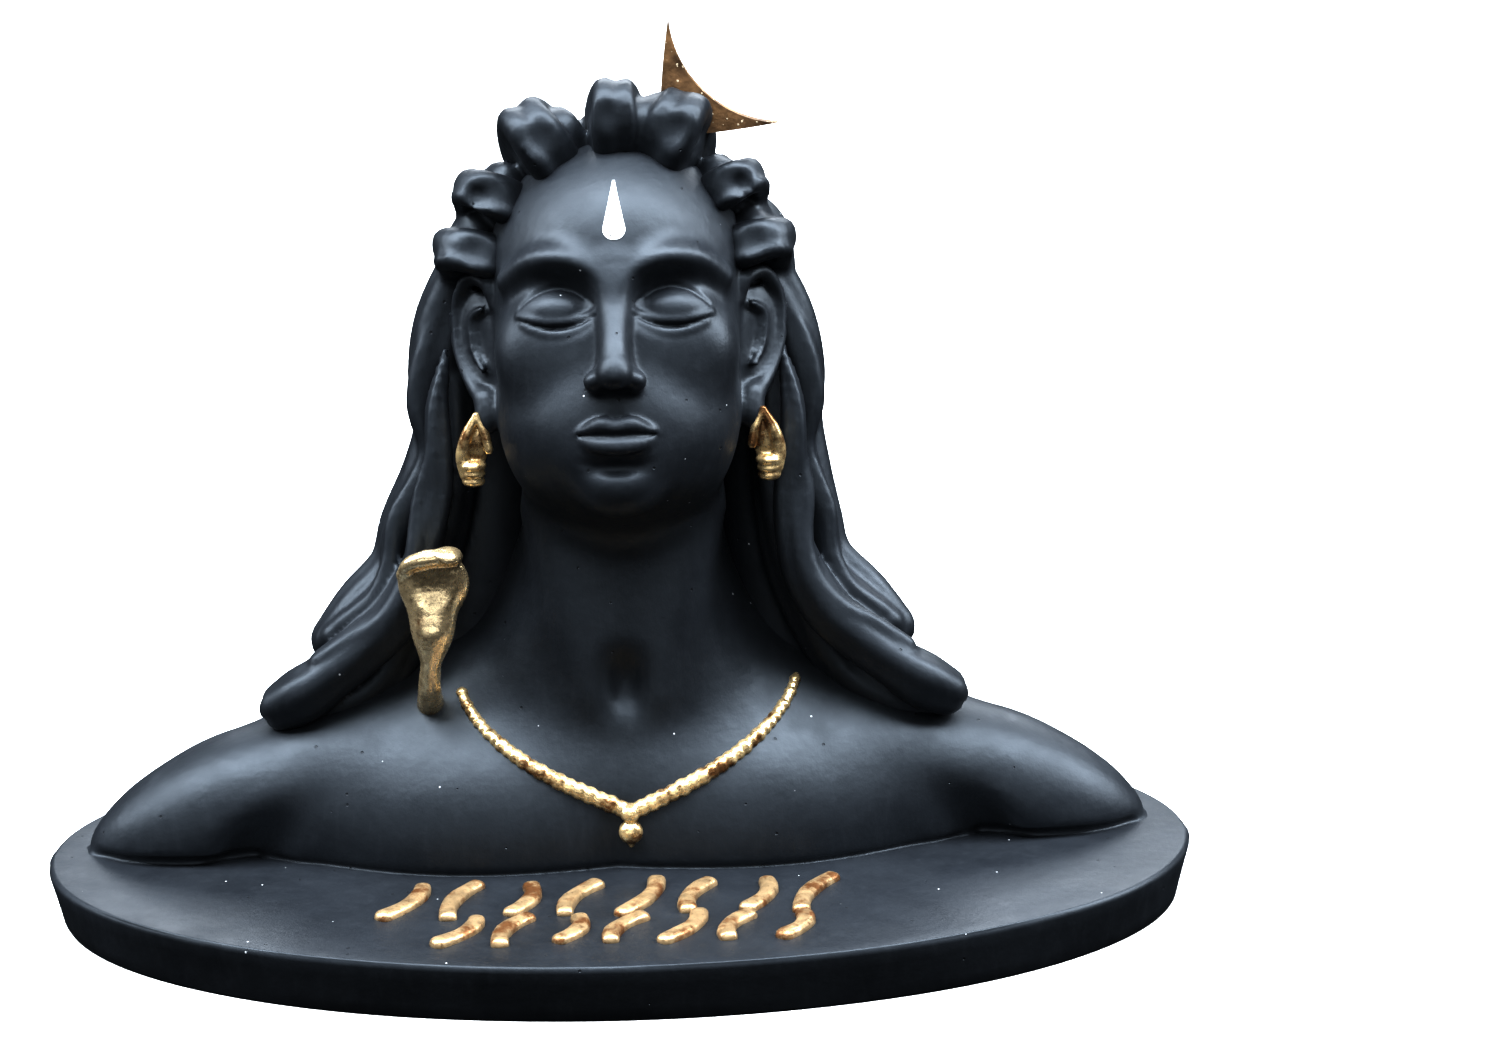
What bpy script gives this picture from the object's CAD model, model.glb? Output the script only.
"""The looks of a small Shiva bust: dark cast resin with gilt trim, on an oval slab.

The figure is sculpted as a field of signed distances, drawn in millimetres from a point on the
slab's top: x right, y back, z up. It faces -Y. world() places it in metres.
"""
import math

import bpy
import numpy as np
from mathutils import Matrix, Vector

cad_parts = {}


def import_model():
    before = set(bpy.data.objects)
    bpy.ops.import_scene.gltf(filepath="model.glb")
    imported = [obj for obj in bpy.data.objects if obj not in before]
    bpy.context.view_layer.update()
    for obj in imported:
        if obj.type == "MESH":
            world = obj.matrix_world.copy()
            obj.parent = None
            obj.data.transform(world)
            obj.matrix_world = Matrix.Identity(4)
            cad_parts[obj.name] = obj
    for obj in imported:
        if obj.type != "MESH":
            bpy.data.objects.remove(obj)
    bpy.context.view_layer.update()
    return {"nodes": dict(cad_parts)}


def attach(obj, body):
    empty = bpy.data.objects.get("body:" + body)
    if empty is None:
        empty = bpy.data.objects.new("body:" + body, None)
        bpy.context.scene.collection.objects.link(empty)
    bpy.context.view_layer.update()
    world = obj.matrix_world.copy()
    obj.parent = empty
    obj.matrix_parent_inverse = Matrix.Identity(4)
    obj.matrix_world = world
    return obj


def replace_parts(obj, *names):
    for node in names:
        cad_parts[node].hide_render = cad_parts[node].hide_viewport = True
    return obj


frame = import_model()

MM = 0.001
SLAB_WIDTH, SLAB_DEPTH, SLAB_HEIGHT = 140.0, 82.0, 7.0
SLAB_DRAFT, SLAB_RIM, SLAB_FOOT = 1.4, 0.8, 0.35
SHIFT = 1.7  # the figure stands this far right of the slab's middle
HEAD = np.array([0.0, 5.6, 64.5])  # the middle of the head
HEAD_TILT = 20.0  # degrees that the head leans back
TORSO_MIDDLE, TORSO_TURN = -1.8, 1.6  # the shoulders stand a little left of the head, slightly turned
BACK_LOCKS = 6
FAR = 50  # a distance that counts as outside everything
COARSE = 1.0
F = np.float32


# Fields: distances from a surface, negative inside it

def fuse(a, b, k):
    """The union of two fields, rounded over k where they meet."""
    h = np.maximum(k - np.abs(a - b), 0) / k
    return np.minimum(a, b) - h * h * k / 4


def meets(lo, hi, box, reach):
    """Whether the box from lo to hi comes within reach of another box."""
    return bool(np.all(lo - reach < box[1]) and np.all(hi + reach > box[0]))


def turned(ax, ay, az):
    """A turn in degrees about x, then y, then z."""
    (sx, sy, sz), (cx, cy, cz) = np.sin(np.radians([ax, ay, az])), np.cos(np.radians([ax, ay, az]))
    rx = np.array([[1, 0, 0], [0, cx, -sx], [0, sx, cx]])
    ry = np.array([[cy, 0, sy], [0, 1, 0], [-sy, 0, cy]])
    rz = np.array([[cz, -sz, 0], [sz, cz, 0], [0, 0, 1]])
    return rz @ ry @ rx


class Ball:
    """An ellipsoid."""
    def __init__(self, centre, radii, turn=(0, 0, 0), basis=np.eye(3)):
        self.c, self.r = np.array(centre, F), np.array(radii, F)
        self.m = (basis @ turned(*turn)).astype(F)
        e = np.sqrt(self.m ** 2 @ self.r ** 2)
        self.lo, self.hi = self.c - e, self.c + e

    def __call__(self, p):
        a = (p - self.c) @ self.m / self.r
        k = np.sqrt(np.einsum("ij,ij->i", a, a))
        a /= self.r
        return k * (k - 1) / (np.sqrt(np.einsum("ij,ij->i", a, a)) + 1e-9)


class Tube:
    """Tapered stretches through points (x, y, z, radius).

    ridges = (count, depth, phase) runs grooves along it, and flat = (direction, share) makes it
    a strap that is wider along the direction, with its radius as half its thickness.
    """
    def __init__(self, points, ridges=None, flat=None):
        self.p = np.array(points, F)
        self.ridges, self.flat = ridges, flat
        self.legs = list(zip(self.p[:-1], self.p[1:]))
        self.frames = []
        for a, b in self.legs:
            way = (b[:3] - a[:3]) / max(float(np.linalg.norm(b[:3] - a[:3])), 1e-6)
            side = np.array(flat[0] if flat else (0, 1, 0), F)
            side = side - (side @ way) * way
            side /= max(float(np.linalg.norm(side)), 1e-6)
            self.frames.append((side.astype(F), np.cross(way, side).astype(F)))
        step = np.linalg.norm(np.diff(self.p[:, :3], axis=0), axis=1)
        self.run = np.concatenate([[0], np.cumsum(step)]).astype(F)
        self.use = list(range(len(self.legs)))
        r = self.p[:, 3:].max() / (flat[1] if flat else 1)
        self.lo, self.hi = self.p[:, :3].min(0) - r, self.p[:, :3].max(0) + r

    def near(self, box, reach):
        t = Tube.__new__(Tube)
        t.__dict__.update(self.__dict__)
        t.use = []
        for i, (a, b) in enumerate(self.legs):
            r = max(a[3], b[3]) / (self.flat[1] if self.flat else 1)
            if meets(np.minimum(a, b)[:3] - r, np.maximum(a, b)[:3] + r, box, reach):
                t.use.append(i)
        t.use = t.use or [0]
        return t

    def __call__(self, p):
        d = np.full(len(p), 1e3, F)
        if self.ridges:
            turn, along = np.zeros(len(p), F), np.zeros(len(p), F)
        for i in self.use:
            a, b = self.legs[i]
            ab = b[:3] - a[:3]
            q = p - a[:3]
            t = np.clip(q @ ab / max(float(ab @ ab), 1e-9), 0, 1)
            q -= t[:, None] * ab
            size = np.einsum("ij,ij->i", q, q)
            radius = a[3] + t * (b[3] - a[3])
            if self.flat:
                side = q @ self.frames[i][0]
                across = side ** 2
                thick = np.maximum(size - across, 0) ** 1.4
                size = (thick + (across * self.flat[1] ** 2) ** 1.4) ** (1 / 1.4)
            e = np.sqrt(size) - radius
            if self.ridges:
                better = e < d
                if self.flat:
                    here = np.clip(side * self.flat[1] / radius, -1.2, 1.2) * math.pi
                else:
                    here = np.arctan2(q @ self.frames[i][0], q @ self.frames[i][1])
                turn = np.where(better, here, turn)
                along = np.where(better, self.run[i] + t * (self.run[i + 1] - self.run[i]), along)
            d = np.minimum(d, e)
        if self.ridges:
            count, depth, phase = self.ridges
            wave = np.cos(count * turn + phase + 0.9 * np.sin(along * 0.16 + 2 * phase))
            fade = np.clip((3 - np.abs(d)) / 3, 0, 1)
            d = d + depth * fade * (0.5 - 0.5 * wave) ** 2
        return d


class Body:
    """Shapes joined and cut smoothly, in the order they are given."""
    def __init__(self):
        self.parts = []

    def add(self, shape, k=1.0):
        self.parts.append((shape, k, 1))

    def cut(self, shape, k=1.0):
        self.parts.append((shape, k, -1))

    def boxed(self):
        self.lo = np.min([s.lo for s, _, sign in self.parts if sign > 0], axis=0)
        self.hi = np.max([s.hi for s, _, sign in self.parts if sign > 0], axis=0)
        return self

    def near(self, box, reach):
        b = Body()
        b.__dict__.update(self.__dict__)
        b.parts = [(s.near(box, k + reach) if hasattr(s, "near") else s, k, sign)
                   for s, k, sign in self.parts if meets(s.lo, s.hi, box, k + reach)]
        return b

    def __call__(self, p):
        d = np.full(len(p), FAR, F)
        for shape, k, sign in self.parts:
            d = sign * fuse(sign * d, shape(p), k)
        return d


def smooth(points, n=4):
    """A Catmull-Rom curve through points with any number of columns."""
    p = np.array(points, float)
    p = np.vstack([2 * p[0] - p[1], p, 2 * p[-1] - p[-2]])
    out = []
    for i in range(1, len(p) - 2):
        a, b, c, d = p[i - 1:i + 3]
        for t in np.arange(n) / n:
            bend = 2 * a - 5 * b + 4 * c - d + t * (3 * (b - c) + d - a)
            out.append(b + 0.5 * t * (c - a + t * bend))
    return np.array(out + [p[-2]])


# Meshes

def lines(lo, hi, step):
    """Grid lines from lo to hi whose spacing follows step(position)."""
    out = [lo]
    while out[-1] < hi:
        out.append(out[-1] + step(out[-1]) * COARSE)
    return np.array(out)


def grid_around(body, step):
    """An even grid that ends 1 mm outside the body."""
    return [lines(lo - 1, hi + 1, lambda _: step) for lo, hi in zip(body.lo, body.hi)]


def sample(body, axes, block=12):
    """Values of a body on a grid. Blocks far from its surface get one value.

    A field is only roughly a distance, so a block counts as far only with some room to spare.
    """
    n = np.array([len(a) for a in axes])
    v = np.full(n, FAR, F)
    for i in range(0, n[0], block):
        for j in range(0, n[1], block):
            for k in range(0, n[2], block):
                at = [slice(s, min(s + block, m)) for s, m in zip((i, j, k), n)]
                g = [a[s] for a, s in zip(axes, at)]
                lo, hi = np.array([a[0] for a in g]), np.array([a[-1] for a in g])
                half = float(np.linalg.norm(hi - lo)) / 2
                mid = ((lo + hi) / 2).astype(F)[None]
                f = float(body.near((lo, hi), half * 1.6)(mid)[0])
                if abs(f) > half * 1.6 + 1:
                    v[tuple(at)] = f
                    continue
                p = np.stack(np.meshgrid(*g, indexing="ij"), -1).reshape(-1, 3).astype(F)
                v[tuple(at)] = body.near((lo, hi), 2.5)(p).reshape([len(a) for a in g])
    return v


def surface(v, axes):
    """Surface nets: a vertex in each cell that the surface crosses, a quad over each crossed edge."""
    s = v < 0
    nx, ny, nz = s.shape
    corners = [(x, y, z) for x in (0, 1) for y in (0, 1) for z in (0, 1)]
    c = sum(s[x:nx - 1 + x, y:ny - 1 + y, z:nz - 1 + z].astype(np.int8) for x, y, z in corners)
    live = (c > 0) & (c < 8)
    cells = np.argwhere(live)
    number = np.full(live.shape, -1, np.int32)
    number[live] = np.arange(len(cells))
    val = np.stack([v[tuple((cells + k).T)] for k in corners], 1)
    total, count = np.zeros((len(cells), 3)), np.zeros(len(cells))
    for a in range(8):
        for b in range(a + 1, 8):
            way = np.array(corners[b]) - corners[a]
            if np.abs(way).sum() == 1:
                va, vb = val[:, a], val[:, b]
                hit = (va < 0) != (vb < 0)
                t = np.where(hit, va / np.where(hit, va - vb, 1), 0)
                total += np.where(hit[:, None], np.array(corners[a]) + t[:, None] * way, 0)
                count += hit
    at = cells + total / count[:, None]
    verts = np.stack([np.interp(at[:, i], np.arange(len(axes[i])), axes[i]) for i in range(3)], 1)
    quads = []
    for ax in range(3):
        o1, o2 = (ax + 1) % 3, (ax + 2) % 3
        m = np.moveaxis(s, ax, 0)
        e = np.argwhere(np.moveaxis(m[:-1] != m[1:], 0, ax))
        inner = (e[:, o1] > 0) & (e[:, o2] > 0) & (e[:, o1] < s.shape[o1] - 1) & (e[:, o2] < s.shape[o2] - 1)
        e = e[inner]
        d1, d2 = np.eye(3, dtype=int)[o1], np.eye(3, dtype=int)[o2]
        q = np.stack([number[tuple(x.T)] for x in (e - d1 - d2, e - d2, e, e - d1)], 1)
        turn = ~s[tuple(e.T)]
        q[turn] = q[turn][:, ::-1]
        quads.append(q)
    return verts, np.vstack(quads)


def bands(rows, n):
    """The quads between rings of n corners each."""
    faces = []
    for k in range(rows - 1):
        for i in range(n):
            j = (i + 1) % n
            faces.append((k * n + i, k * n + j, (k + 1) * n + j, (k + 1) * n + i))
    return faces


def world(p):
    """From the figure's drawing in millimetres to metres in the shared frame."""
    return (np.asarray(p, float) + [SHIFT, 0, SLAB_HEIGHT]) * MM


def plain_mesh(name, verts, faces, paint):
    """A smooth mesh in the scene."""
    if isinstance(faces, np.ndarray):
        faces = faces.tolist()
    mesh = bpy.data.meshes.new(name)
    mesh.from_pydata(np.asarray(verts).tolist(), [], faces)
    mesh.polygons.foreach_set("use_smooth", np.full(len(mesh.polygons), True))
    mesh.validate()
    mesh.materials.append(paint)
    thing = bpy.data.objects.new(name, mesh)
    bpy.context.scene.collection.objects.link(thing)
    return thing


def new_mesh(name, verts, faces, paint):
    """A piece of the object, with the name of its material slot."""
    piece = plain_mesh(name, verts, faces, paint)
    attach(piece, "root")
    return piece


def sculpt(name, body, axes, paint):
    """A piece whose surface is that of a body in the figure's drawing."""
    verts, quads = surface(sample(body, axes), axes)
    return new_mesh(name, world(verts), quads, paint)


# The figure

head_cos, head_sin = math.cos(math.radians(HEAD_TILT)), math.sin(math.radians(HEAD_TILT))
HEAD_TURN = np.array([[1, 0, 0], [0, head_cos, head_sin], [0, -head_sin, head_cos]])


def to_head(p):
    """From the head's own drawing to the figure's."""
    return HEAD + HEAD_TURN @ np.array(p[:3], float)


def head_ball(centre, radii, turn=(0, 0, 0)):
    return Ball(to_head(centre), radii, turn, HEAD_TURN)


def head_tube(points, ridges=None):
    return Tube([[*to_head(p), p[3]] for p in points], ridges)


def mirrored(points, side):
    return [(side * x, y, z, r) for x, y, z, r in points]


def torso_ball(centre, radii):
    turn = turned(0, 0, TORSO_TURN)
    return Ball(turn @ np.array(centre, float) + [TORSO_MIDDLE, 0, 0], radii, basis=turn)


def torso_tube(points):
    turn = turned(0, 0, TORSO_TURN)
    return Tube([(*(turn @ np.array(p[:3], float) + [TORSO_MIDDLE, 0, 0]), p[3]) for p in points])


def add_torso(f):
    """Back, arms cut off below the shoulder, chest, neck, and the hollows between them."""
    f.add(torso_ball((0, 9, 0), (50, 17, 20)))
    for s in (-1, 1):
        arm = [(32, 5.6, 6, 10), (40, 5, 5.4, 10), (46, 4.6, 4.4, 9.6), (51, 4.2, 2.8, 8.8),
               (55.5, 3.8, 1.2, 7.6), (59.6, 3.8, 0, 5.4), (62.4, 4.2, -0.4, 2.8)]
        f.add(torso_tube(smooth(mirrored(arm, s))), 5)
        f.add(torso_ball((s * 15, 0, 2.5), (20.5, 10.9, 13)), 5)
        f.add(torso_tube([(0, 12, 24, 10), (s * 30, 10, 9.4, 8.6)]), 9)
    f.add(Tube([(-1, 10.4, 12, 13), (0, 8.6, 44, 11.6)]), 10)
    for s in (-1, 1):
        f.add(Tube([(s * 9.6, 2.4, 42, 1.8), (s * 3.4, -1.6, 21, 0.8)]), 6)
        hollow = [(32.4, -8.6, 15, 0.4), (36.5, -8.4, 10.5, 1.6), (40.6, -7.2, 5.6, 2.6),
                  (44, -5.4, 1.6, 3.3), (45, -4.6, -1.6, 3.6)]
        f.cut(torso_tube(smooth(mirrored(hollow, s))), 3)
    f.cut(Ball((-0.4, -4.6, 22), (1.3, 1.4, 2.2)), 4)
    f.cut(torso_tube([(0, -11.6, -1, 1.4), (0, -10.6, 7, 0.4)]), 3)
    # A groove under the edge, deep under the arms and fine under the chest
    for s in (-1, 1):
        under = [(44.5, 0.9), (47.5, 1.1), (51, 1.2), (54.5, 1.2), (58, 1.1), (61, 1), (63.6, 0.8)]
        x = TORSO_MIDDLE + s * np.array([u for u, _ in under])
        y = front_of(f, x, np.full(len(x), 0.5))
        f.cut(Tube([(x[i], y[i] - 0.1, 0.15, r) for i, (_, r) in enumerate(under)]), 0.7)
    x = TORSO_MIDDLE + np.linspace(-42, 42, 29)
    y = front_of(f, x, np.full(len(x), 0.4))
    f.cut(Tube([(x[i], y[i] - 0.15, 0.1, 0.5) for i in range(len(x))]), 0.4)


def front_of(body, x, z):
    """The surface of a body at x and z, seen from straight ahead."""
    y = np.full(len(x), -30.0)
    for _ in range(120):
        y = y + np.maximum(0.6 * body(np.stack([x, y, z], 1).astype(F)), 0)
    return y


def add_face(f):
    """Skull, jaw, chin, cheeks, brows, nose, closed eyes and lips."""
    f.add(head_ball((0, 4, 6), (16.4, 20.5, 17)), 3)
    f.add(head_ball((0, -3.2, -8.2), (13.8, 12.4, 16.4)), 6)
    f.add(head_ball((0, -11.4, -20.8), (4.6, 3.6, 3.6)), 4)
    for s in (-1, 1):
        f.add(head_ball((s * 7.2, -3.5, -13.6), (5.8, 8, 7.4)), 5)
        f.add(head_ball((s * 9.2, -9, -4.6), (4.6, 4.2, 4.8)), 4)
        brow = [(1.8, -15.4, 2.4, 0.8), (5.4, -15.6, 5, 0.9), (9.6, -13.6, 5.6, 0.8), (13, -9.6, 3.8, 0.6)]
        f.add(head_tube(smooth(mirrored(brow, s))), 3)
        f.cut(head_ball((s * 6.9, -17.2, 0.4), (5.4, 4.6, 3.9)), 1.6)
    f.add(head_ball((0, -11.6, -14.6), (7.4, 4.2, 6)), 4)
    sides = [(0, -13.6, 2.4, 0.8), (0, -15, -1.6, 1.2), (0, -16, -5, 1.7), (0, -16.6, -8.2, 2.2)]
    f.add(head_tube(smooth(sides)), 1.5)
    ridge = [(0, -14.8, 4.6, 1.6), (0, -16, 0.6, 1.3), (0, -18.3, -4.6, 1.5), (0, -19.4, -7.4, 1.7)]
    f.add(head_tube(smooth(ridge)), 2.1)
    f.add(head_ball((0, -19.8, -8.7), (1.9, 1.8, 1.6)), 1.2)
    for s in (-1, 1):
        f.add(head_ball((s * 2.25, -17.4, -9.2), (1.35, 2.2, 1.35), (0, 0, s * 15)), 1.1)
    for s in (-1, 1):
        f.cut(head_ball((s * 1.25, -18.2, -10.7), (0.6, 1.2, 0.7), (0, 0, s * 18)), 0.4)
    f.cut(head_tube([(0, -17.4, -11.4, 0.6), (0, -17, -13.2, 0.6)]), 0.9)
    for s in (-1, 1):
        add_eye(f, s * 6.75)

    def both(half):
        return [(-x, *p) for x, *p in half[:0:-1]] + half

    upper = [(0, -17.2, -14.5, 1), (1.7, -17, -14.2, 1), (3.4, -16, -14.75, 0.75), (5, -14.3, -15.1, 0.35)]
    lower = [(0, -16.7, -16.7, 1.25), (2.6, -16.1, -16.3, 0.95), (4.2, -14.8, -15.7, 0.35)]
    edge = [(0, -18, -15.55, 0.25), (2.8, -17, -15.35, 0.22), (5.3, -14.4, -15.2, 0.12)]
    f.add(head_tube(smooth(both(upper), 3)), 0.7)
    f.add(head_tube(smooth(both(lower), 3)), 0.7)
    f.cut(head_tube(smooth(both(edge), 3)), 0.45)
    f.cut(head_ball((0, -16, -19.1), (3.6, 1.4, 0.8)), 1.6)


def on_face(body, u, v):
    """From places in the head's own drawing, straight back to the skin."""
    p = HEAD + np.stack([u, np.full(len(u), -22.0), v], 1) @ HEAD_TURN.T
    for _ in range(60):
        p = p + np.maximum(0.8 * body(p.astype(F)), 0)[:, None] * HEAD_TURN[:, 1]
    return p


def add_eye(f, x):
    """A closed eye: the ball under its lids, the crease, the closed edge and the lower lid."""
    f.add(head_ball((x, -10.5, -0.5), (4.7, 4.5, 3.3)), 1.2)

    def arc(half, rise, bow, sink, radius):
        t = np.linspace(-1, 1, 13)
        p = on_face(f, x + t * half, rise + bow * (1 - t * t)) + sink * HEAD_TURN[:, 1]
        return Tube(np.column_stack([p, radius * (1 - 0.55 * t * t)]))

    f.cut(arc(4.3, 0.2, 2.1, 0.05, 0.26), 0.4)
    f.add(arc(4.6, -0.75, -1.1, 0.14, 0.45), 0.6)
    f.cut(arc(4.6, -1.3, -1.3, -0.02, 0.3), 0.2)
    f.add(arc(4, -1.95, -1.35, 0.18, 0.42), 0.6)


def add_ears(f):
    """A shell with a rolled rim, a hollow and a lobe."""
    for s in (-1, 1):
        f.add(head_ball((s * 16.6, -0.6, -3.2), (1.2, 3.8, 7.2), (0, s * 6, -s * 46)), 0.8)
        f.cut(head_ball((s * 17.4, -3, -2.8), (1.6, 2.6, 5.4), (0, s * 6, -s * 46)), 0.5)
        rim = [(14.6, -4.4, 1.6, 0.7), (15.6, -4.6, 4.2, 0.85), (17.6, -2.2, 5, 0.95), (19.4, 0.6, 2.2, 0.95),
               (19.2, 1, -2.6, 0.9), (17.9, -0.4, -6.8, 0.85), (16.4, -2, -9.2, 1)]
        f.add(head_tube(smooth(mirrored(rim, s))), 0.5)
        inner = [(16.2, -3.6, 1.2, 0.4), (17.4, -1.6, 0.2, 0.55), (17.2, -1.4, -3.4, 0.5),
                 (16.2, -2.8, -6, 0.4)]
        f.add(head_tube(smooth(mirrored(inner, s))), 0.5)
        f.add(head_ball((s * 15.8, -2, -11), (1.5, 1.7, 2.8)), 1)


# Rolls of hair around the hairline: degrees from the middle, height, width, lean, twist, whether hollow
ROLLS = [
    (-84, 0.98, 1.04, 0.6, 30, False), (-57, 0.92, 1, -1.2, 34, True), (-29, 1, 1.1, -0.8, 24, False),
    (0, 0.97, 0.94, 0.2, 5, False), (25, 0.98, 1.16, 0.4, 16, False), (54, 0.84, 0.92, 1.2, 26, True),
    (82, 0.94, 1, -0.4, 28, False),
]


def add_rolls(f):
    """Straps of hair that rise from the hairline, hang over it and fold back over the crown."""
    for i, (degrees, high, width, lean, twist, hollow) in enumerate(ROLLS):
        turn = math.radians(degrees)
        s, c = math.sin(turn), math.cos(turn)
        way = 1 if degrees > 6 else -1
        twist = math.radians(twist)
        y = -8.6 + 5.4 * s * s
        wide = np.array([way * c * math.cos(twist), -math.sin(twist), -way * s * math.cos(twist)])

        def at(out, back, flank):
            reach = 14 + out * high - 7 * (s * max(back - 6, 0) / 21) ** 2
            across = lean * out / 6
            middle = np.array([s * reach + c * across, y + back, 6 + c * reach - s * across])
            return middle + flank * width * wide

        def strap(points, flat, ridges):
            curve = smooth([(*at(*p[:3]), p[3] * width) for p in points], 3)
            return Tube([[*to_head(p), p[3]] for p in curve], ridges, (HEAD_TURN @ wide, flat))

        roll = Body()
        roll.add(strap([(-1.8, 1.6, 0, 1.8), (1.4, -1.4, 0, 2), (4.2, -2.6, 0, 1.9), (6.2, -0.8, 0, 1.8),
                        (6, 3.5, 0, 2.2), (5, 9, 0, 2.6), (4, 15, 0, 2.7), (2.8, 21, 0, 2.6),
                        (0.6, 27, 0, 2.4)], 0.64, (1.5, 0.5, 1.3 * i)), 0.01)
        roll.add(strap([(-1, 3, 0, 2.4), (2.2, 3, 0, 2.6), (2.2, 10, 0, 2.8)], 0.8, None), 0.8)
        roll.add(strap([(-1.6, 2.4, -2.6, 1.3), (1, 0.2, -3, 1.5), (3, -0.8, -3.1, 1.6), (4.2, 1, -3, 1.6),
                        (4.2, 5, -2.8, 1.9), (3.6, 12, -2.6, 2), (2.6, 18, -2.4, 2),
                        (0.8, 25, -2.3, 1.8)], 0.8, (1, 0.4, 0.7 * i)), 0.4)
        tall = (0, degrees, 0)
        if hollow:
            roll.cut(head_ball(at(4.2, -4, 1.2), (1.4, 1.6, 1.6), tall), 0.9)
        roll.cut(head_ball(at(1.8, -5.8, 0), (2.4, 2.3, 3.2), tall), 0.8)
        f.add(roll.boxed(), 0.5)
    # A tuft between the middle roll and the next holds the crescent.
    tuft = [(4.6, -7.4, 19.4, 1.2), (4.8, -8.6, 22.2, 1.6), (5.2, -7.8, 23.9, 1.8), (5.6, -4, 24.5, 2.1),
            (5.8, 1, 24.4, 2.5), (5.6, 9, 23, 2.6)]
    f.add(head_tube(smooth(tuft)), 0.5)


# Locks on the right as seen from the front (x, y, z, radius). Those on the left mirror them.
LOCKS = [
    [(16.4, 11, 72, 3), (19.6, 11, 64, 3.8), (20.8, 10.8, 57, 4), (20.6, 10.6, 50.5, 3.8),
     (21.4, 10, 44.5, 3.9), (22.8, 9.4, 38.5, 3.8), (24.4, 8.6, 33.4, 3.5), (28.6, 7.4, 29, 3.5),
     (32, 6, 25, 3.2)],
    [(19.4, 9.4, 66, 1.4), (21.8, 8.4, 60, 1.9), (22.8, 7.8, 54, 2), (21.8, 7.2, 48.4, 1.8),
     (22.6, 6.6, 43, 2.2), (24, 6, 37.6, 2.2), (24.8, 5.6, 32.8, 1.9), (28, 4.6, 29, 2.2),
     (31.6, 4.2, 26, 2.2)],
    [(18.4, 9.5, 56, 2.6), (18.6, 7.5, 44, 3), (20.5, 6.4, 32, 3.2), (26, 5.4, 21.4, 3.4),
     (32, 4.6, 17.4, 3.6), (36.4, 4.4, 15.4, 3)],
    [(19.4, 5.4, 61, 0.6), (20.6, 4, 55, 1.5), (20.6, 3.2, 49.4, 1.9), (19.8, 2.6, 44, 1.9),
     (20.2, 2, 38.8, 2.2), (21.8, 1.6, 33.2, 2.8), (24.6, 1.2, 28.6, 3), (28.4, 1, 25.2, 3.1),
     (32.2, 0.8, 22.2, 3.1), (35.8, 1.2, 19.6, 3.5), (38.4, 1.8, 18, 3.1)],
    [(21.4, 2.8, 50, 0.7), (22, 2.2, 44, 1.2), (21.4, 1, 38, 1.5), (22.4, 0.4, 33.4, 1.5),
     (25.6, 0, 29.4, 1.6), (29.6, 0.2, 27, 1.5), (33.8, 0.4, 24.2, 1.3)],
    [(23, 6, 45.6, 0.8), (24.4, 5.2, 40.6, 1.4), (24.6, 4.4, 35.6, 1.5), (26.6, 3.6, 31, 1.6),
     (30.6, 3.6, 27.6, 1.5)],
]
LOCK_BLENDS = (1, 0.4, 1, 0.4, 0.5, 0.5)
LOCK_GROOVES = (5, 3, 5, 4, 2, 2)


def beside(point, side):
    """A point of a lock on either side, wider on the left and most of all below the chin."""
    x, y, z, r = point
    low = min(max((50 - z) / 14, 0), 1)
    return (x, y, z, r) if side > 0 else (-x - 1.4 - 2.4 * low * low * (3 - 2 * low), y, z, r)


def add_hair(f):
    """The cap of hair, the fall behind the neck, and the locks at the sides and down the back."""
    f.add(head_ball((0, 8.5, 6), (18, 19.5, 17.4)), 1.2)
    f.add(Tube(smooth([(0, 22, 66, 15), (0, 21, 48, 13), (0, 21, 28, 12), (0, 21, 10, 9)])), 3)
    for s in (-1, 1):
        under = [(13.4, 17, 70, 8), (15.4, 16, 54, 7.2), (17, 15, 40, 7.2), (20, 14.5, 26, 8),
                 (23, 14, 12, 8)]
        f.add(Tube(smooth(mirrored(under, s))), 3)
        for i, lock in enumerate(LOCKS):
            curve = smooth([beside(p, s) for p in lock], 5)
            f.add(Tube(curve, (LOCK_GROOVES[i], 0.4, 1.1 * i + s)), LOCK_BLENDS[i])
    for i in range(BACK_LOCKS):
        u = (i + 0.5) / BACK_LOCKS * 2 - 1
        w, q = 0.9 * math.sin(2.1 * i), u * u
        points = [(u * 9, 20 - 3 * q, 84 - 4 * q, 3.4), (u * 15, 27 - 5 * q, 74, 4.2),
                  (u * 17 + w, 30 - 6 * q, 60, 4.4), (u * 18 - w, 30 - 7 * q, 46, 4.2),
                  (u * 20 + w, 30 - 8 * q, 32, 4.2), (u * 23 - w, 29 - 9 * q, 18, 4),
                  (u * 25 + w, 27 - 9 * q, 9, 3)]
        f.add(Tube(smooth(points), (7, 0.55, i)), 1.2)


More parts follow.
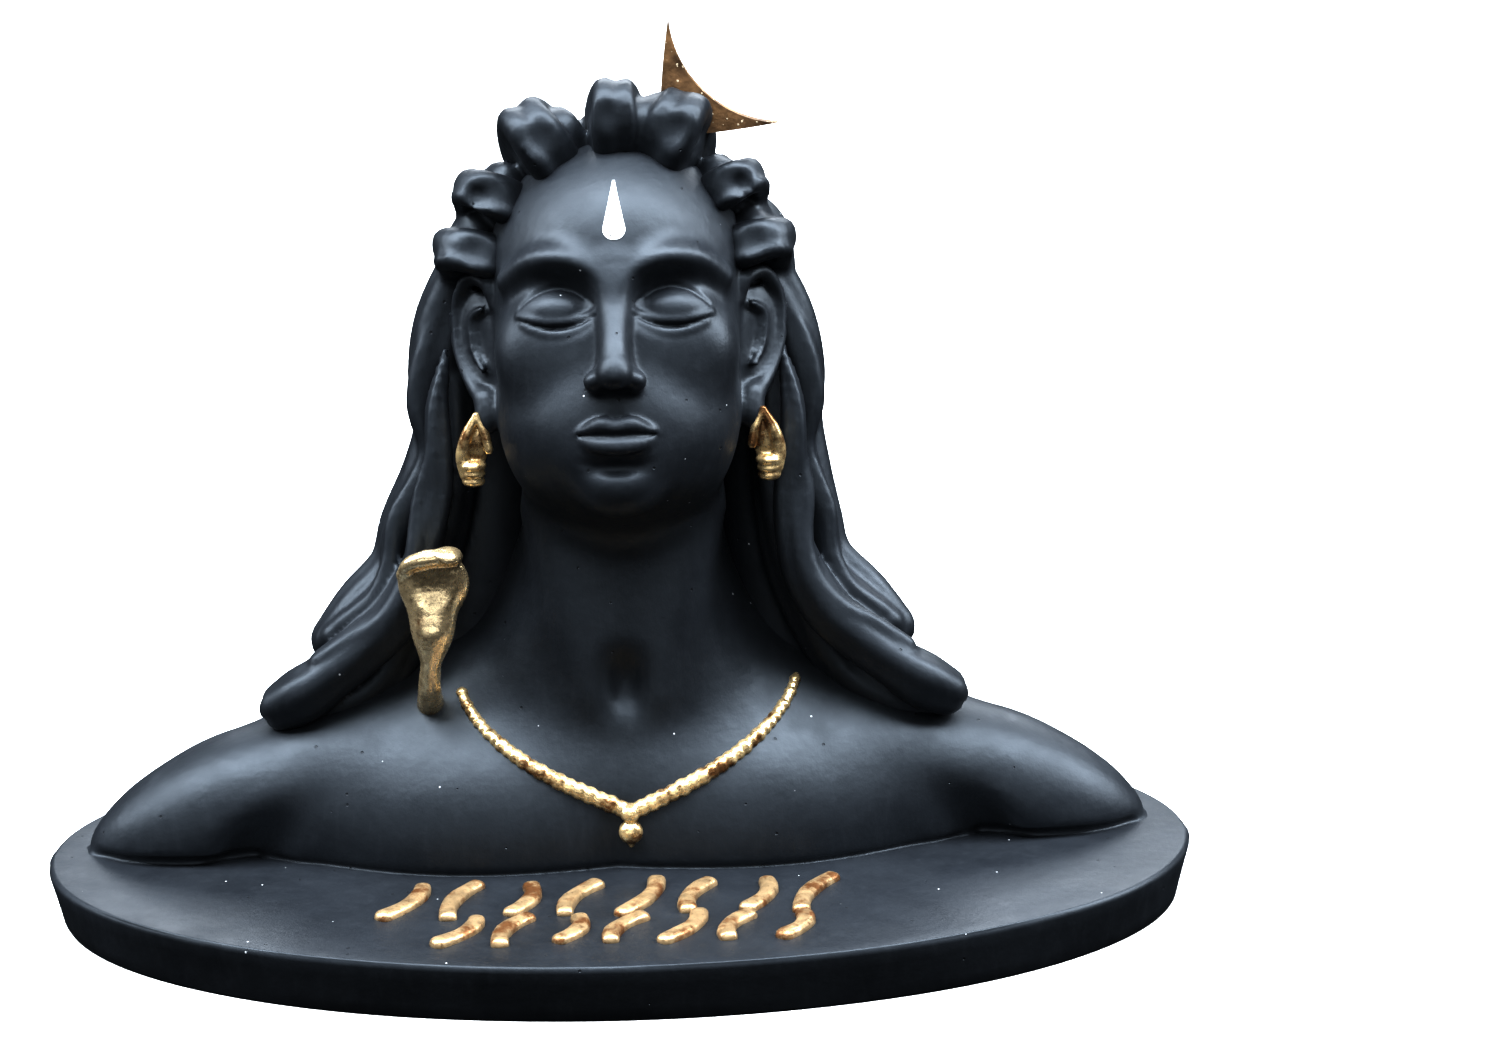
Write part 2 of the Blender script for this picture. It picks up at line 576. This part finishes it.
def snake_body():
    """The hood on its rearing neck, with its head bent over its upper edge."""
    f = Body()
    neck = [(-24.2, 2, 17, 2), (-24.1, -0.8, 19, 1.6), (-23.9, -3.2, 22, 1.35), (-23.5, -4.4, 25.5, 1.25),
            (-23.2, -4.8, 29, 1.6)]
    f.add(Tube(smooth(neck)), 0.01)
    f.add(Ball((-23.1, -4.5, 31.2), (2.8, 1.5, 5.2)), 1.8)
    f.add(Ball((-22.8, -4.1, 35), (4.3, 1.5, 4.4), (8, 0, 0)), 1.6)
    f.cut(Ball((-22.8, -7.2, 35), (2.7, 1.7, 2.6)), 1.2)
    rim = [(-26.6, -4.4, 36.2, 0.6), (-25.4, -5.6, 37.9, 0.9), (-22.8, -6.2, 38.7, 1.05),
           (-20, -5.8, 38.6, 0.95)]
    f.add(Tube(smooth(rim)), 0.6)
    f.add(Ball((-20.6, -6.6, 39.1), (1.5, 1.8, 0.9), (10, 0, 20)), 0.5)
    return f.boxed()


def earring_body(s):
    """A leaf that opens toward the face, with a ringed knob under it."""
    f = Body()
    outer = [(17.1, -1.2, 54.8, 0.4), (18.3, -1.2, 52.4, 0.7), (18.9, -1, 49.8, 0.85), (18.5, -1, 47.6, 0.9)]
    inner = [(17.1, -1.2, 54.8, 0.4), (16.2, -1.4, 53, 0.55), (15.7, -1.6, 50.6, 0.55)]
    for edge in (outer, inner):
        f.add(Tube(smooth(mirrored(edge, s))), 0.2)
    f.add(Ball((s * 17.4, -0.5, 51), (1.6, 0.8, 3)), 0.3)
    for k in range(3):
        f.add(Ball((s * 17.7, -1, 48.6 - 0.95 * k), (1.65 - 0.12 * k, 1.5 - 0.1 * k, 0.75)), 0.12)
    return f.boxed()


class Skirted:
    """A body with a small fillet where it meets the slab."""
    def __init__(self, body):
        self.body = body

    def near(self, box, reach):
        return Skirted(self.body.near(box, reach + 2))

    def __call__(self, p):
        d = self.body(p)
        # The slab's top, within 1 mm of the body
        return fuse(d, np.maximum(p[:, 2] + 0.06, d - 1), 0.45)


# Materials

def material(name):
    """A material with its node tree and its shader."""
    m = bpy.data.materials.new(name)
    m.use_nodes = True
    tree = m.node_tree
    return m, tree, tree.nodes["Principled BSDF"]


def multiply(tree, a, b):
    n = tree.nodes.new("ShaderNodeMath")
    n.operation = "MULTIPLY"
    tree.links.new(a, n.inputs[0])
    if isinstance(b, int):
        n.inputs[1].default_value = b
    else:
        tree.links.new(b, n.inputs[1])
    return n.outputs[0]


def noise(tree, scale, detail=4.0, rough=0.55, stretch=(1, 1, 1)):
    """Cloudy noise in the piece's own place. The scale counts per metre."""
    place = tree.nodes.new("ShaderNodeTexCoord")
    scaled = tree.nodes.new("ShaderNodeMapping")
    scaled.inputs["Scale"].default_value = stretch
    n = tree.nodes.new("ShaderNodeTexNoise")
    n.inputs["Scale"].default_value = scale
    n.inputs["Detail"].default_value = detail
    n.inputs["Roughness"].default_value = rough
    tree.links.new(place.outputs["Object"], scaled.inputs["Vector"])
    tree.links.new(scaled.outputs["Vector"], n.inputs["Vector"])
    return n.outputs["Fac"]


def ramp(tree, source, stops):
    """From one colour to another between two values of the source."""
    n = tree.nodes.new("ShaderNodeValToRGB")
    for item, (at, colour) in zip(n.color_ramp.elements, stops):
        item.position = at
        item.color = (*colour, 1)
    tree.links.new(source, n.inputs["Fac"])
    return n.outputs["Color"]


def grey(v):
    return (v, v, v)


def mix(tree, share, a, b):
    """Colour a, or b where the share is 1."""
    n = tree.nodes.new("ShaderNodeMix")
    n.data_type = "RGBA"
    tree.links.new(share, n.inputs[0])
    # The node's colour sockets stand after those for its other kinds of data.
    for socket, value in ((n.inputs[6], a), (n.inputs[7], b)):
        if isinstance(value, tuple):
            socket.default_value = (*value, 1)
        else:
            tree.links.new(value, socket)
    return n.outputs[2]


def specks(tree, scale, size, chance):
    """1 inside small round specks, of which only a share is kept."""
    place = tree.nodes.new("ShaderNodeTexCoord")
    v = tree.nodes.new("ShaderNodeTexVoronoi")
    v.inputs["Scale"].default_value = scale
    tree.links.new(place.outputs["Object"], v.inputs["Vector"])
    near = ramp(tree, v.outputs["Distance"], [(size * 0.7, grey(1)), (size, grey(0))])
    split = tree.nodes.new("ShaderNodeSeparateColor")
    tree.links.new(v.outputs["Color"], split.inputs[0])
    kept = ramp(tree, split.outputs[0], [(chance * 0.98, grey(1)), (chance, grey(0))])
    return multiply(tree, near, kept)


def bump(tree, shader, sources):
    """Bumps one over the other, each from a source, a strength and a height in metres."""
    last = None
    for source, strength, distance in sources:
        n = tree.nodes.new("ShaderNodeBump")
        n.inputs["Strength"].default_value = strength
        n.inputs["Distance"].default_value = distance
        tree.links.new(source, n.inputs["Height"])
        if last:
            tree.links.new(last, n.inputs["Normal"])
        last = n.outputs["Normal"]
    tree.links.new(last, shader.inputs["Normal"])


def resin():
    """Dark blue-grey resin with a faint cloud, upright streaks, dust and pinholes."""
    m, t, b = material("dark_resin")
    cloud = noise(t, 60, 5)
    streak = noise(t, 900, 3, 0.6, (1, 1, 0.25))
    base = ramp(t, cloud, [(0.3, (0.008, 0.0095, 0.012)), (0.7, (0.014, 0.0165, 0.0205))])
    base = mix(t, ramp(t, streak, [(0.5, grey(0)), (0.8, grey(0.35))]), base, (0.025, 0.028, 0.033))
    dust = specks(t, 420, 0.06, 0.16)
    pits = specks(t, 520, 0.1, 0.16)
    base = mix(t, dust, base, (0.5, 0.52, 0.54))
    base = mix(t, pits, base, (0.003, 0.003, 0.004))
    t.links.new(base, b.inputs["Base Color"])
    t.links.new(ramp(t, noise(t, 220, 4), [(0.3, grey(0.42)), (0.75, grey(0.56))]), b.inputs["Roughness"])
    b.inputs["Specular IOR Level"].default_value = 0.5
    b.inputs["Specular Tint"].default_value = (0.8, 0.9, 1, 1)
    holes = multiply(t, pits, -1)
    bump(t, b, [(noise(t, 700, 4), 0.25, 0.0002), (streak, 0.12, 0.0001), (holes, 0.8, 0.0003)])
    return m


def gilt(name="gilt", colour=(1, 0.76, 0.42), metal=0.75, gloss=(0.2, 0.4), worn=0.5):
    """Pale gold paint, rubbed through to brown in patches."""
    m, t, b = material(name)
    tone = ramp(t, noise(t, 500, 3), [(0.3, tuple(v * 0.58 for v in colour)), (0.65, colour)])
    patches = ramp(t, noise(t, 300, 5, 0.65), [(worn, grey(0)), (worn + 0.12, grey(0.9))])
    base = mix(t, patches, tone, (0.16, 0.065, 0.02))
    fine = ramp(t, noise(t, 1500, 4, 0.7), [(0.56, grey(0)), (0.66, grey(0.6))])
    t.links.new(mix(t, fine, base, (0.1, 0.05, 0.02)), b.inputs["Base Color"])
    b.inputs["Metallic"].default_value = metal
    rough = ramp(t, noise(t, 1300, 4), [(0.3, grey(gloss[0])), (0.75, grey(gloss[1]))])
    t.links.new(rough, b.inputs["Roughness"])
    bump(t, b, [(noise(t, 1500, 5), 0.35, 0.00015), (noise(t, 420, 3), 0.3, 0.0003)])
    return m


def moon_gilt():
    """Brown bronze paint with lighter flecks."""
    m, t, b = material("moon_gilt")
    base = ramp(t, noise(t, 400, 5), [(0.35, (0.075, 0.042, 0.02)), (0.7, (0.28, 0.165, 0.08))])
    flecks = specks(t, 1700, 0.26, 0.5)
    t.links.new(mix(t, flecks, base, (0.75, 0.64, 0.46)), b.inputs["Base Color"])
    b.inputs["Metallic"].default_value = 0.4
    t.links.new(ramp(t, noise(t, 900, 4), [(0.3, grey(0.35)), (0.7, grey(0.6))]), b.inputs["Roughness"])
    bump(t, b, [(flecks, 0.5, 0.0001), (noise(t, 700, 5), 0.5, 0.0003)])
    return m


def white_paint():
    """Matt white paint with small chips."""
    m, t, b = material("white_paint")
    chips = specks(t, 1500, 0.3, 0.3)
    t.links.new(mix(t, chips, (0.85, 0.86, 0.87), (0.12, 0.12, 0.12)), b.inputs["Base Color"])
    b.inputs["Roughness"].default_value = 0.6
    bump(t, b, [(noise(t, 1500, 4), 0.3, 0.0001)])
    return m


def pale_floor():
    """A nearly white floor that glows a little, so that it stays as bright as its surroundings."""
    m, t, b = material("pale_floor")
    t.links.new(ramp(t, noise(t, 3, 2), [(0.3, grey(0.86)), (0.7, grey(0.88))]), b.inputs["Base Color"])
    b.inputs["Roughness"].default_value = 0.7
    b.inputs["Emission Color"].default_value = (1, 1, 1, 1)
    b.inputs["Emission Strength"].default_value = 0.3
    return m


RESIN = resin()
GILT = gilt()
DULL_GILT = gilt("dull_gilt", (0.46, 0.33, 0.19), 0.6, (0.3, 0.48))
BRIGHT_GILT = gilt("bright_gilt", (1, 0.8, 0.5), 0.8, (0.18, 0.34), 0.58)

# The cast figure, its skin and its hair, on grids that are finest over the face
skin = Body()
add_torso(skin)
add_face(skin)
add_ears(skin)
grid = [
    lines(-68, 66, lambda x: 0.28 if abs(x) < 12 else 0.48 if abs(x) < 20 else 0.85),
    lines(-24, 28, lambda y: 0.28 if y < -4 else 0.52 if y < 6 else 1.1),
    lines(-1.2, 88, lambda z: 0.32 if z < 1.9 else 0.8 if z < 40 else 0.28 if 50 < z < 76 else 0.48),
]
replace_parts(sculpt("figure_skin", Skirted(skin), grid, RESIN), "shiva_figure")
hair = Body()
add_hair(hair)
add_rolls(hair)
grid = [
    lines(-50, 46, lambda x: 0.5),
    lines(-24, 42, lambda y: 0.5 if y < 12 else 0.9),
    lines(-1.2, 97, lambda z: 0.5),
]
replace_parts(sculpt("figure_hair", hair, grid, RESIN), "shiva_figure")


def slab(n=256):
    """The slab, like a turned disc squeezed to an oval, with a soft rim."""
    h, r, e = SLAB_HEIGHT, SLAB_WIDTH / 2, SLAB_RIM
    rim = [(r - e + e * math.sin(a), h - e + e * math.cos(a)) for a in np.radians([90, 72, 54, 36, 18, 0])]
    side = [(r - SLAB_DRAFT - SLAB_FOOT, 0.0), (r - SLAB_DRAFT, SLAB_FOOT)]
    side += [(r - SLAB_DRAFT * (1 - t), SLAB_FOOT + (h - e - SLAB_FOOT) * t) for t in (0.25, 0.5, 0.75)]
    top = [(x, h) for x in np.linspace(r - e, 2, 24)[1:]]
    profile = side + rim + top
    verts = []
    for k, (x, z) in enumerate(profile):
        for i in range(n):
            a = 2 * math.pi * i / n
            # The edge is slightly uneven, but its four outermost points stay where they are.
            uneven = 0 < k < len(side) + 4 and abs(math.cos(a)) < 0.999 and abs(math.sin(a)) < 0.999
            out = x - 0.06 * (math.sin(5 * a + 1) + math.sin(11 * a + 2 + 0.4 * z) + 2) if uneven else x
            verts.append((out * math.cos(a), out * math.sin(a) * SLAB_DEPTH / SLAB_WIDTH, z))
    faces = bands(len(profile), n)
    faces.append(tuple(range(n))[::-1])
    faces.append(tuple((len(profile) - 1) * n + i for i in range(n)))
    return new_mesh("slab", np.array(verts) * MM, faces, RESIN)


base = slab()
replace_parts(base, "shiva_figure")

# Gilt pieces
snake = snake_body()
grid = grid_around(snake, 0.3)
cobra = sculpt("cobra", snake, grid, BRIGHT_GILT)
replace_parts(cobra, "shiva_figure")
for s, side in ((-1, "left"), (1, "right")):
    drop = earring_body(s)
    grid = grid_around(drop, 0.22)
    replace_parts(sculpt(f"earring_{side}", drop, grid, GILT), "shiva_figure")


# Rows of strokes: how many, from and to as shares of the slab's width, place in its depth, and length
STROKE_ROWS = ((8, -0.18, 0.17, -0.24, 9), (7, -0.13, 0.15, -0.36, 7))


def strokes():
    """Plain bent blades, bent one way and the other in turn."""
    f = Body()
    for count, x0, x1, y, length in STROKE_ROWS:
        for i in range(count):
            x = SLAB_WIDTH * (x0 + (x1 - x0) * i / (count - 1)) - SHIFT
            bend = -1.1 if i % 2 else 1.1
            lean = 3 + math.cos(1.7 * i)
            run = length * (1 + 0.12 * math.sin(2 * i))
            points = []
            for t in np.linspace(-0.5, 0.5, 7):
                r = 0.86 + 0.05 * math.sin(9 * t + i)
                points.append((x + lean * t + bend * (1 - 4 * t * t), y * SLAB_DEPTH + run * t, 0.12, r))
            f.add(Tube(points, None, (np.array([1.0, 0, 0]), 0.8)), 0.05)
    return f.boxed()


marks = strokes()
grid = [*grid_around(marks, 0.25)[:2], lines(-0.9, 1.3, lambda _: 0.2)]
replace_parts(sculpt("raised_strokes", marks, grid, DULL_GILT), "shiva_figure")


CHAIN_REACH, CHAIN_LOW, CHAIN_RISE = 20.6, 7, 14.4


def necklace(steps=400):
    """Beads strung along the chest, larger toward the middle, and the pendant under them."""
    a = np.radians(np.linspace(-88, 88, steps))
    x, z = CHAIN_REACH * np.sin(a), CHAIN_LOW + CHAIN_RISE * np.abs(a) / (math.pi / 2)
    y = front_of(skin, x, z)
    # Both ends run into the neck.
    y[np.abs(a) > math.radians(80)] += 1.2
    path = np.stack([x, y, z], 1)
    run = np.concatenate([[0], np.cumsum(np.linalg.norm(np.diff(path, axis=0), axis=1))])
    f = Body()
    f.add(Tube([(*path[i], 0.5) for i in range(0, steps, 8)]), 0.01)
    at, k = 0.5, 0
    while at < run[-1]:
        p = [np.interp(at, run, path[:, i]) for i in range(3)]
        mid = 1 - abs(2 * at / run[-1] - 1)
        r = 0.68 + 0.42 * min(1, mid * 1.3) + 0.05 * math.sin(2.7 * k)
        f.add(Ball(p, (r, r, r * (1.0 if mid > 0.35 else 0.8))), 0.12)
        at += r * 1.25
        k += 1
    low = front_of(skin, np.zeros(1), np.array([4.6]))[0]
    f.add(Tube([(0, low, 6.2, 0.7), (0, low, 4.7, 1.5), (0, low, 2.9, 0.35)]), 0.2)
    f.add(Ball((0, low - 0.2, 7), (1.2, 1, 1.1)), 0.1)
    return f.boxed()


chain = necklace()
grid = grid_around(chain, 0.24)
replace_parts(sculpt("necklace", chain, grid, GILT), "shiva_figure")

MARK_MIDDLE, MARK_TOP, MARK_LENGTH, MARK_WIDTH = 0.2, 14.9, 7.5, 2.7
MARK_RISE, MARK_SINK = 0.07, 0.4  # its outer face above the skin and its inner face below


def forehead_mark(rows=40, cols=16):
    """A drop of white paint that follows the skin, round at its lower end."""
    r = MARK_WIDTH / 2
    low = (MARK_LENGTH - r) / MARK_LENGTH
    flat = []
    for t in np.linspace(0.004, 0.996, rows):
        if t < low:
            w = r * (0.1 + 0.9 * (t / low) ** 1.1)
        else:
            w = math.sqrt(max(r * r - ((t - low) * MARK_LENGTH) ** 2, 1e-4))
        flat += [(MARK_MIDDLE + w * q, MARK_TOP - t * MARK_LENGTH) for q in np.linspace(-1, 1, cols)]
    flat = np.array(flat)
    p = on_face(skin, flat[:, 0], flat[:, 1])
    front, back = p - MARK_RISE * HEAD_TURN[:, 1], p + MARK_SINK * HEAD_TURN[:, 1]
    n = rows * cols
    faces = []
    for i in range(rows - 1):
        for j in range(cols - 1):
            a = i * cols + j
            faces += [(a, a + cols, a + cols + 1, a + 1), (n + a, n + a + 1, n + a + cols + 1, n + a + cols)]
    ring = list(range(cols)) + [i * cols + cols - 1 for i in range(1, rows)]
    ring += [(rows - 1) * cols + j for j in range(cols - 2, -1, -1)]
    ring += [i * cols for i in range(rows - 2, 0, -1)]
    for a, b in zip(ring, ring[1:] + ring[:1]):
        faces.append((a, b, n + b, n + a))
    return new_mesh("forehead_mark", world(np.vstack([front, back])), faces, white_paint())


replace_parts(forehead_mark(), "shiva_figure")

# The crescent keeps its solid and gets its own bronze paint
moon = frame["nodes"]["crescent_moon"]
moon.data.materials.clear()
moon.data.materials.append(moon_gilt())


# Floor, camera and lights

def sweep(flat=1.3, bend=0.6, high=2.4, n=64):
    """A round floor that curves up into a wall all the way round."""
    profile = [(0.001, 0), (0.3, 0), (0.8, 0)]
    for a in np.linspace(0, math.pi / 2, 13):
        profile.append((flat + bend * math.sin(a), bend * (1 - math.cos(a))))
    profile.append((flat + bend, high))
    turn = np.linspace(0, 2 * math.pi, n, endpoint=False)
    verts = np.array([(r * math.cos(a), r * math.sin(a), z) for r, z in profile for a in turn])
    return plain_mesh("floor", verts, bands(len(profile), n), pale_floor())


floor = sweep()
floor.visible_diffuse = False
floor.visible_glossy = False

# The camera looks down by PITCH and is rolled by ROLL, in degrees. AIM and DISTANCE are in
# millimetres, the focal length and the picture's width in pixels.
PITCH, ROLL = 16.36, -1.3587
AIM, DISTANCE = Vector((16.904, 0, 46.449)), 520
FOCAL, PICTURE, SENSOR = 4322.16, 1500, 36
pitch, roll = math.radians(PITCH), math.radians(ROLL)
ahead = Vector((0, math.cos(pitch), -math.sin(pitch)))
right = Vector((1, 0, 0))
up = right.cross(ahead)
right, up = math.cos(roll) * right + math.sin(roll) * up, math.cos(roll) * up - math.sin(roll) * right
camera = bpy.data.objects.new("camera", bpy.data.cameras.new("camera"))
bpy.context.scene.collection.objects.link(camera)
place = Matrix((right, up, -ahead)).transposed().to_4x4()
place.translation = (AIM - DISTANCE * ahead) * MM
camera.matrix_world = place
camera.data.sensor_width = SENSOR
camera.data.lens = FOCAL / PICTURE * SENSOR
camera.data.clip_start = 0.01
bpy.context.scene.camera = camera


def area(name, at, width, height, power, aim=(0, 0, 0.06)):
    """A soft, slightly cool light that faces the figure. The power is in watts."""
    light = bpy.data.lights.new(name, "AREA")
    light.shape = "RECTANGLE"
    light.size, light.size_y, light.energy, light.color = width, height, power, (0.9, 0.95, 1)
    lamp = bpy.data.objects.new(name, light)
    bpy.context.scene.collection.objects.link(lamp)
    lamp.location = at
    lamp.rotation_mode = "QUATERNION"
    lamp.rotation_quaternion = (Vector(aim) - Vector(at)).to_track_quat("-Z", "Y")


area("top", (0, -0.1, 0.62), 1.4, 0.36, 24, (0, 0, 0.05))
area("front", (0, -0.7, 0.6), 0.6, 0.2, 1.8)
area("low front", (-0.1, -0.75, 0.12), 1.2, 0.16, 1.1, (0, 0, 0.04))
area("left", (-0.52, 0.02, 0.34), 0.25, 0.35, 2.4)
area("right", (0.52, 0.02, 0.34), 0.25, 0.35, 4)
area("back", (0.1, 0.65, 0.5), 0.8, 0.3, 6)
sky = bpy.data.worlds.new("sky")
sky.use_nodes = True
bpy.context.scene.world = sky
sky.node_tree.nodes["Background"].inputs[0].default_value = (1, 1, 1, 1)
sky.node_tree.nodes["Background"].inputs[1].default_value = 0.01
view = bpy.context.scene.view_settings
view.view_transform = "Standard"
view.gamma = 0.72
view.exposure = 0.45
